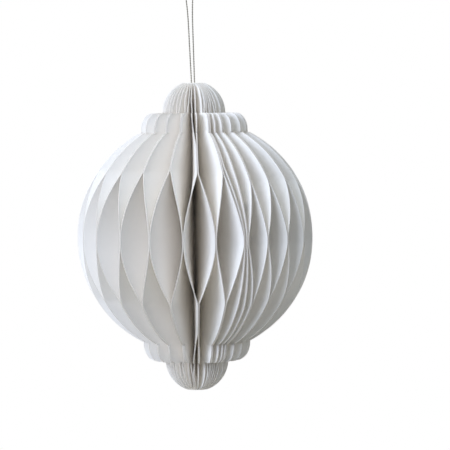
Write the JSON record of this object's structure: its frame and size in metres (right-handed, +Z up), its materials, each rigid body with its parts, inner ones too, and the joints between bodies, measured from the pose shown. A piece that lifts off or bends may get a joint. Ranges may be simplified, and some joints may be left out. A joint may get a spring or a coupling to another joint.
{
  "type": "honeycomb paper ornament",
  "caption": "Hanging paper ornament that opens from a flat stack into a honeycomb ball with stepped, domed ends, on a doubled metallic thread.",
  "frame": {"origin": "the point on the inside of the thread loop's top that bears on whatever it hangs from", "axes": "+Z up along the spine; -Y is the front; the spine stands 1.65 mm towards +X from the origin, because the thread leans a little"},
  "size_m": [0.115, 0.1151, 0.1986],
  "materials": {
    "paper_leaf": "matt uncoated white paper",
    "cover_card": "matt white card",
    "spine_paper": "matt white paper strip",
    "magnet_nickel": "satin nickel plate",
    "metallic_thread": "twisted metallic yarn, grey gold"
  },
  "bodies": {
    "root": {"leaf_24": "paper_leaf", "spine_strip": "spine_paper", "hanging_thread": "metallic_thread", "thread_knot": "metallic_thread"},
    "cover_front_fold": {"cover_front": "cover_card", "magnet_front": "magnet_nickel"},
    "leaf_01_fold": {"leaf_01": "paper_leaf"},
    "leaf_02_fold": {"leaf_02": "paper_leaf"},
    "leaf_03_fold": {"leaf_03": "paper_leaf"},
    "leaf_04_fold": {"leaf_04": "paper_leaf"},
    "leaf_05_fold": {"leaf_05": "paper_leaf"},
    "leaf_06_fold": {"leaf_06": "paper_leaf"},
    "leaf_07_fold": {"leaf_07": "paper_leaf"},
    "leaf_08_fold": {"leaf_08": "paper_leaf"},
    "leaf_09_fold": {"leaf_09": "paper_leaf"},
    "leaf_10_fold": {"leaf_10": "paper_leaf"},
    "leaf_11_fold": {"leaf_11": "paper_leaf"},
    "leaf_12_fold": {"leaf_12": "paper_leaf"},
    "leaf_13_fold": {"leaf_13": "paper_leaf"},
    "leaf_14_fold": {"leaf_14": "paper_leaf"},
    "leaf_15_fold": {"leaf_15": "paper_leaf"},
    "leaf_16_fold": {"leaf_16": "paper_leaf"},
    "leaf_17_fold": {"leaf_17": "paper_leaf"},
    "leaf_18_fold": {"leaf_18": "paper_leaf"},
    "leaf_19_fold": {"leaf_19": "paper_leaf"},
    "leaf_20_fold": {"leaf_20": "paper_leaf"},
    "leaf_21_fold": {"leaf_21": "paper_leaf"},
    "leaf_22_fold": {"leaf_22": "paper_leaf"},
    "leaf_23_fold": {"leaf_23": "paper_leaf"},
    "leaf_25_fold": {"leaf_25": "paper_leaf"},
    "leaf_26_fold": {"leaf_26": "paper_leaf"},
    "leaf_27_fold": {"leaf_27": "paper_leaf"},
    "leaf_28_fold": {"leaf_28": "paper_leaf"},
    "leaf_29_fold": {"leaf_29": "paper_leaf"},
    "leaf_30_fold": {"leaf_30": "paper_leaf"},
    "leaf_31_fold": {"leaf_31": "paper_leaf"},
    "leaf_32_fold": {"leaf_32": "paper_leaf"},
    "leaf_33_fold": {"leaf_33": "paper_leaf"},
    "leaf_34_fold": {"leaf_34": "paper_leaf"},
    "leaf_35_fold": {"leaf_35": "paper_leaf"},
    "leaf_36_fold": {"leaf_36": "paper_leaf"},
    "leaf_37_fold": {"leaf_37": "paper_leaf"},
    "leaf_38_fold": {"leaf_38": "paper_leaf"},
    "leaf_39_fold": {"leaf_39": "paper_leaf"},
    "leaf_40_fold": {"leaf_40": "paper_leaf"},
    "leaf_41_fold": {"leaf_41": "paper_leaf"},
    "leaf_42_fold": {"leaf_42": "paper_leaf"},
    "leaf_43_fold": {"leaf_43": "paper_leaf"},
    "leaf_44_fold": {"leaf_44": "paper_leaf"},
    "leaf_45_fold": {"leaf_45": "paper_leaf"},
    "leaf_46_fold": {"leaf_46": "paper_leaf"},
    "cover_back_fold": {"cover_back": "cover_card", "magnet_back": "magnet_nickel"}
  },
  "joints": [
    {"name": "cover_front_hinge", "type": "hinge", "parent": "root", "child": "cover_front_fold", "pos_m": [0.00725, 0.00262, -0.12285], "axis": [0, 0, 1], "range_deg": [0, 180.99]},
    {"name": "leaf_01_hinge", "type": "hinge", "parent": "root", "child": "leaf_01_fold", "pos_m": [0.00681, 0.0026, -0.12285], "axis": [0, 0, 1], "range_deg": [0, 177.96]},
    {"name": "leaf_02_hinge", "type": "hinge", "parent": "root", "child": "leaf_02_fold", "pos_m": [0.00657, 0.00278, -0.12285], "axis": [0, 0, 1], "range_deg": [0, 172.66]},
    {"name": "leaf_03_hinge", "type": "hinge", "parent": "root", "child": "leaf_03_fold", "pos_m": [0.00629, 0.00297, -0.12285], "axis": [0, 0, 1], "range_deg": [0, 166.76]},
    {"name": "leaf_04_hinge", "type": "hinge", "parent": "root", "child": "leaf_04_fold", "pos_m": [0.00599, 0.00314, -0.12285], "axis": [0, 0, 1], "range_deg": [0, 160.25]},
    {"name": "leaf_05_hinge", "type": "hinge", "parent": "root", "child": "leaf_05_fold", "pos_m": [0.00566, 0.00331, -0.12285], "axis": [0, 0, 1], "range_deg": [0, 153.24]},
    {"name": "leaf_06_hinge", "type": "hinge", "parent": "root", "child": "leaf_06_fold", "pos_m": [0.00532, 0.00346, -0.12285], "axis": [0, 0, 1], "range_deg": [0, 145.74]},
    {"name": "leaf_07_hinge", "type": "hinge", "parent": "root", "child": "leaf_07_fold", "pos_m": [0.00497, 0.00359, -0.12285], "axis": [0, 0, 1], "range_deg": [0, 137.94]},
    {"name": "leaf_08_hinge", "type": "hinge", "parent": "root", "child": "leaf_08_fold", "pos_m": [0.00462, 0.0037, -0.12285], "axis": [0, 0, 1], "range_deg": [0, 129.82]},
    {"name": "leaf_09_hinge", "type": "hinge", "parent": "root", "child": "leaf_09_fold", "pos_m": [0.00428, 0.00379, -0.12285], "axis": [0, 0, 1], "range_deg": [0, 121.71]},
    {"name": "leaf_10_hinge", "type": "hinge", "parent": "root", "child": "leaf_10_fold", "pos_m": [0.00395, 0.00386, -0.12285], "axis": [0, 0, 1], "range_deg": [0, 113.6]},
    {"name": "leaf_11_hinge", "type": "hinge", "parent": "root", "child": "leaf_11_fold", "pos_m": [0.00362, 0.00392, -0.12285], "axis": [0, 0, 1], "range_deg": [0, 105.48]},
    {"name": "leaf_12_hinge", "type": "hinge", "parent": "root", "child": "leaf_12_fold", "pos_m": [0.00331, 0.00396, -0.12285], "axis": [0, 0, 1], "range_deg": [0, 97.37]},
    {"name": "leaf_13_hinge", "type": "hinge", "parent": "root", "child": "leaf_13_fold", "pos_m": [0.003, 0.00398, -0.12285], "axis": [0, 0, 1], "range_deg": [0, 89.25]},
    {"name": "leaf_14_hinge", "type": "hinge", "parent": "root", "child": "leaf_14_fold", "pos_m": [0.00269, 0.004, -0.12285], "axis": [0, 0, 1], "range_deg": [0, 81.14]},
    {"name": "leaf_15_hinge", "type": "hinge", "parent": "root", "child": "leaf_15_fold", "pos_m": [0.0024, 0.00399, -0.12285], "axis": [0, 0, 1], "range_deg": [0, 73.03]},
    {"name": "leaf_16_hinge", "type": "hinge", "parent": "root", "child": "leaf_16_fold", "pos_m": [0.00211, 0.00398, -0.12285], "axis": [0, 0, 1], "range_deg": [0, 64.91]},
    {"name": "leaf_17_hinge", "type": "hinge", "parent": "root", "child": "leaf_17_fold", "pos_m": [0.00183, 0.00395, -0.12285], "axis": [0, 0, 1], "range_deg": [0, 56.8]},
    {"name": "leaf_18_hinge", "type": "hinge", "parent": "root", "child": "leaf_18_fold", "pos_m": [0.00155, 0.00391, -0.12285], "axis": [0, 0, 1], "range_deg": [0, 48.68]},
    {"name": "leaf_19_hinge", "type": "hinge", "parent": "root", "child": "leaf_19_fold", "pos_m": [0.00128, 0.00386, -0.12285], "axis": [0, 0, 1], "range_deg": [0, 40.57]},
    {"name": "leaf_20_hinge", "type": "hinge", "parent": "root", "child": "leaf_20_fold", "pos_m": [0.00102, 0.00379, -0.12285], "axis": [0, 0, 1], "range_deg": [0, 32.46]},
    {"name": "leaf_21_hinge", "type": "hinge", "parent": "root", "child": "leaf_21_fold", "pos_m": [0.00076, 0.00372, -0.12285], "axis": [0, 0, 1], "range_deg": [0, 24.34]},
    {"name": "leaf_22_hinge", "type": "hinge", "parent": "root", "child": "leaf_22_fold", "pos_m": [0.0005, 0.00363, -0.12285], "axis": [0, 0, 1], "range_deg": [0, 16.23]},
    {"name": "leaf_23_hinge", "type": "hinge", "parent": "root", "child": "leaf_23_fold", "pos_m": [0.00025, 0.00353, -0.12285], "axis": [0, 0, 1], "range_deg": [0, 8.11]},
    {"name": "leaf_25_hinge", "type": "hinge", "parent": "root", "child": "leaf_25_fold", "pos_m": [-0.00023, 0.0033, -0.12285], "axis": [0, 0, 1], "range_deg": [-8.11, 0]},
    {"name": "leaf_26_hinge", "type": "hinge", "parent": "root", "child": "leaf_26_fold", "pos_m": [-0.00046, 0.00317, -0.12285], "axis": [0, 0, 1], "range_deg": [-16.23, 0]},
    {"name": "leaf_27_hinge", "type": "hinge", "parent": "root", "child": "leaf_27_fold", "pos_m": [-0.00069, 0.00303, -0.12285], "axis": [0, 0, 1], "range_deg": [-24.34, 0]},
    {"name": "leaf_28_hinge", "type": "hinge", "parent": "root", "child": "leaf_28_fold", "pos_m": [-0.00091, 0.00287, -0.12285], "axis": [0, 0, 1], "range_deg": [-32.46, 0]},
    {"name": "leaf_29_hinge", "type": "hinge", "parent": "root", "child": "leaf_29_fold", "pos_m": [-0.00112, 0.0027, -0.12285], "axis": [0, 0, 1], "range_deg": [-40.57, 0]},
    {"name": "leaf_30_hinge", "type": "hinge", "parent": "root", "child": "leaf_30_fold", "pos_m": [-0.00133, 0.00253, -0.12285], "axis": [0, 0, 1], "range_deg": [-48.68, 0]},
    {"name": "leaf_31_hinge", "type": "hinge", "parent": "root", "child": "leaf_31_fold", "pos_m": [-0.00154, 0.00234, -0.12285], "axis": [0, 0, 1], "range_deg": [-56.8, 0]},
    {"name": "leaf_32_hinge", "type": "hinge", "parent": "root", "child": "leaf_32_fold", "pos_m": [-0.00174, 0.00213, -0.12285], "axis": [0, 0, 1], "range_deg": [-64.91, 0]},
    {"name": "leaf_33_hinge", "type": "hinge", "parent": "root", "child": "leaf_33_fold", "pos_m": [-0.00193, 0.00192, -0.12285], "axis": [0, 0, 1], "range_deg": [-73.03, 0]},
    {"name": "leaf_34_hinge", "type": "hinge", "parent": "root", "child": "leaf_34_fold", "pos_m": [-0.00212, 0.00169, -0.12285], "axis": [0, 0, 1], "range_deg": [-81.14, 0]},
    {"name": "leaf_35_hinge", "type": "hinge", "parent": "root", "child": "leaf_35_fold", "pos_m": [-0.00229, 0.00145, -0.12285], "axis": [0, 0, 1], "range_deg": [-88.98, 0]},
    {"name": "leaf_36_hinge", "type": "hinge", "parent": "root", "child": "leaf_36_fold", "pos_m": [-0.00244, 0.00121, -0.12285], "axis": [0, 0, 1], "range_deg": [-96.53, 0]},
    {"name": "leaf_37_hinge", "type": "hinge", "parent": "root", "child": "leaf_37_fold", "pos_m": [-0.00261, 0.00094, -0.12285], "axis": [0, 0, 1], "range_deg": [-104.5, 0]},
    {"name": "leaf_38_hinge", "type": "hinge", "parent": "root", "child": "leaf_38_fold", "pos_m": [-0.00278, 0.00065, -0.12285], "axis": [0, 0, 1], "range_deg": [-112.88, 0]},
    {"name": "leaf_39_hinge", "type": "hinge", "parent": "root", "child": "leaf_39_fold", "pos_m": [-0.00293, 0.00034, -0.12285], "axis": [0, 0, 1], "range_deg": [-121.1, 0]},
    {"name": "leaf_40_hinge", "type": "hinge", "parent": "root", "child": "leaf_40_fold", "pos_m": [-0.00307, 0.00002, -0.12285], "axis": [0, 0, 1], "range_deg": [-129.15, 0]},
    {"name": "leaf_41_hinge", "type": "hinge", "parent": "root", "child": "leaf_41_fold", "pos_m": [-0.00321, -0.00032, -0.12285], "axis": [0, 0, 1], "range_deg": [-137.28, 0]},
    {"name": "leaf_42_hinge", "type": "hinge", "parent": "root", "child": "leaf_42_fold", "pos_m": [-0.00334, -0.00068, -0.12285], "axis": [0, 0, 1], "range_deg": [-145.49, 0]},
    {"name": "leaf_43_hinge", "type": "hinge", "parent": "root", "child": "leaf_43_fold", "pos_m": [-0.00345, -0.00106, -0.12285], "axis": [0, 0, 1], "range_deg": [-153.43, 0]},
    {"name": "leaf_44_hinge", "type": "hinge", "parent": "root", "child": "leaf_44_fold", "pos_m": [-0.00354, -0.00145, -0.12285], "axis": [0, 0, 1], "range_deg": [-161.1, 0]},
    {"name": "leaf_45_hinge", "type": "hinge", "parent": "root", "child": "leaf_45_fold", "pos_m": [-0.00361, -0.00184, -0.12285], "axis": [0, 0, 1], "range_deg": [-168.41, 0]},
    {"name": "leaf_46_hinge", "type": "hinge", "parent": "root", "child": "leaf_46_fold", "pos_m": [-0.00366, -0.00224, -0.12285], "axis": [0, 0, 1], "range_deg": [-175.36, 0]},
    {"name": "cover_back_hinge", "type": "hinge", "parent": "root", "child": "cover_back_fold", "pos_m": [-0.00393, -0.00248, -0.12285], "axis": [0, 0, 1], "range_deg": [-176.91, 0]}
  ],
  "couplings": [
    {"joint": "leaf_01_hinge", "follows": "cover_front_hinge", "ratio": 0.98322},
    {"joint": "leaf_02_hinge", "follows": "cover_front_hinge", "ratio": 0.95396},
    {"joint": "leaf_03_hinge", "follows": "cover_front_hinge", "ratio": 0.92134},
    {"joint": "leaf_04_hinge", "follows": "cover_front_hinge", "ratio": 0.88538},
    {"joint": "leaf_05_hinge", "follows": "cover_front_hinge", "ratio": 0.84668},
    {"joint": "leaf_06_hinge", "follows": "cover_front_hinge", "ratio": 0.80524},
    {"joint": "leaf_07_hinge", "follows": "cover_front_hinge", "ratio": 0.76211},
    {"joint": "leaf_08_hinge", "follows": "cover_front_hinge", "ratio": 0.71728},
    {"joint": "leaf_09_hinge", "follows": "cover_front_hinge", "ratio": 0.67245},
    {"joint": "leaf_10_hinge", "follows": "cover_front_hinge", "ratio": 0.62763},
    {"joint": "leaf_11_hinge", "follows": "cover_front_hinge", "ratio": 0.5828},
    {"joint": "leaf_12_hinge", "follows": "cover_front_hinge", "ratio": 0.53797},
    {"joint": "leaf_13_hinge", "follows": "cover_front_hinge", "ratio": 0.49314},
    {"joint": "leaf_14_hinge", "follows": "cover_front_hinge", "ratio": 0.44831},
    {"joint": "leaf_15_hinge", "follows": "cover_front_hinge", "ratio": 0.40348},
    {"joint": "leaf_16_hinge", "follows": "cover_front_hinge", "ratio": 0.35865},
    {"joint": "leaf_17_hinge", "follows": "cover_front_hinge", "ratio": 0.31382},
    {"joint": "leaf_18_hinge", "follows": "cover_front_hinge", "ratio": 0.26899},
    {"joint": "leaf_19_hinge", "follows": "cover_front_hinge", "ratio": 0.22416},
    {"joint": "leaf_20_hinge", "follows": "cover_front_hinge", "ratio": 0.17933},
    {"joint": "leaf_21_hinge", "follows": "cover_front_hinge", "ratio": 0.13449},
    {"joint": "leaf_22_hinge", "follows": "cover_front_hinge", "ratio": 0.089663},
    {"joint": "leaf_23_hinge", "follows": "cover_front_hinge", "ratio": 0.044832},
    {"joint": "leaf_25_hinge", "follows": "cover_front_hinge", "ratio": -0.044832},
    {"joint": "leaf_26_hinge", "follows": "cover_front_hinge", "ratio": -0.089663},
    {"joint": "leaf_27_hinge", "follows": "cover_front_hinge", "ratio": -0.1345},
    {"joint": "leaf_28_hinge", "follows": "cover_front_hinge", "ratio": -0.17933},
    {"joint": "leaf_29_hinge", "follows": "cover_front_hinge", "ratio": -0.22416},
    {"joint": "leaf_30_hinge", "follows": "cover_front_hinge", "ratio": -0.26899},
    {"joint": "leaf_31_hinge", "follows": "cover_front_hinge", "ratio": -0.31382},
    {"joint": "leaf_32_hinge", "follows": "cover_front_hinge", "ratio": -0.35865},
    {"joint": "leaf_33_hinge", "follows": "cover_front_hinge", "ratio": -0.40348},
    {"joint": "leaf_34_hinge", "follows": "cover_front_hinge", "ratio": -0.44831},
    {"joint": "leaf_35_hinge", "follows": "cover_front_hinge", "ratio": -0.4916},
    {"joint": "leaf_36_hinge", "follows": "cover_front_hinge", "ratio": -0.53334},
    {"joint": "leaf_37_hinge", "follows": "cover_front_hinge", "ratio": -0.57737},
    {"joint": "leaf_38_hinge", "follows": "cover_front_hinge", "ratio": -0.62367},
    {"joint": "leaf_39_hinge", "follows": "cover_front_hinge", "ratio": -0.66907},
    {"joint": "leaf_40_hinge", "follows": "cover_front_hinge", "ratio": -0.71355},
    {"joint": "leaf_41_hinge", "follows": "cover_front_hinge", "ratio": -0.75848},
    {"joint": "leaf_42_hinge", "follows": "cover_front_hinge", "ratio": -0.80387},
    {"joint": "leaf_43_hinge", "follows": "cover_front_hinge", "ratio": -0.84774},
    {"joint": "leaf_44_hinge", "follows": "cover_front_hinge", "ratio": -0.89009},
    {"joint": "leaf_45_hinge", "follows": "cover_front_hinge", "ratio": -0.93047},
    {"joint": "leaf_46_hinge", "follows": "cover_front_hinge", "ratio": -0.96887},
    {"joint": "cover_back_hinge", "follows": "cover_front_hinge", "ratio": -0.97744}
  ]
}
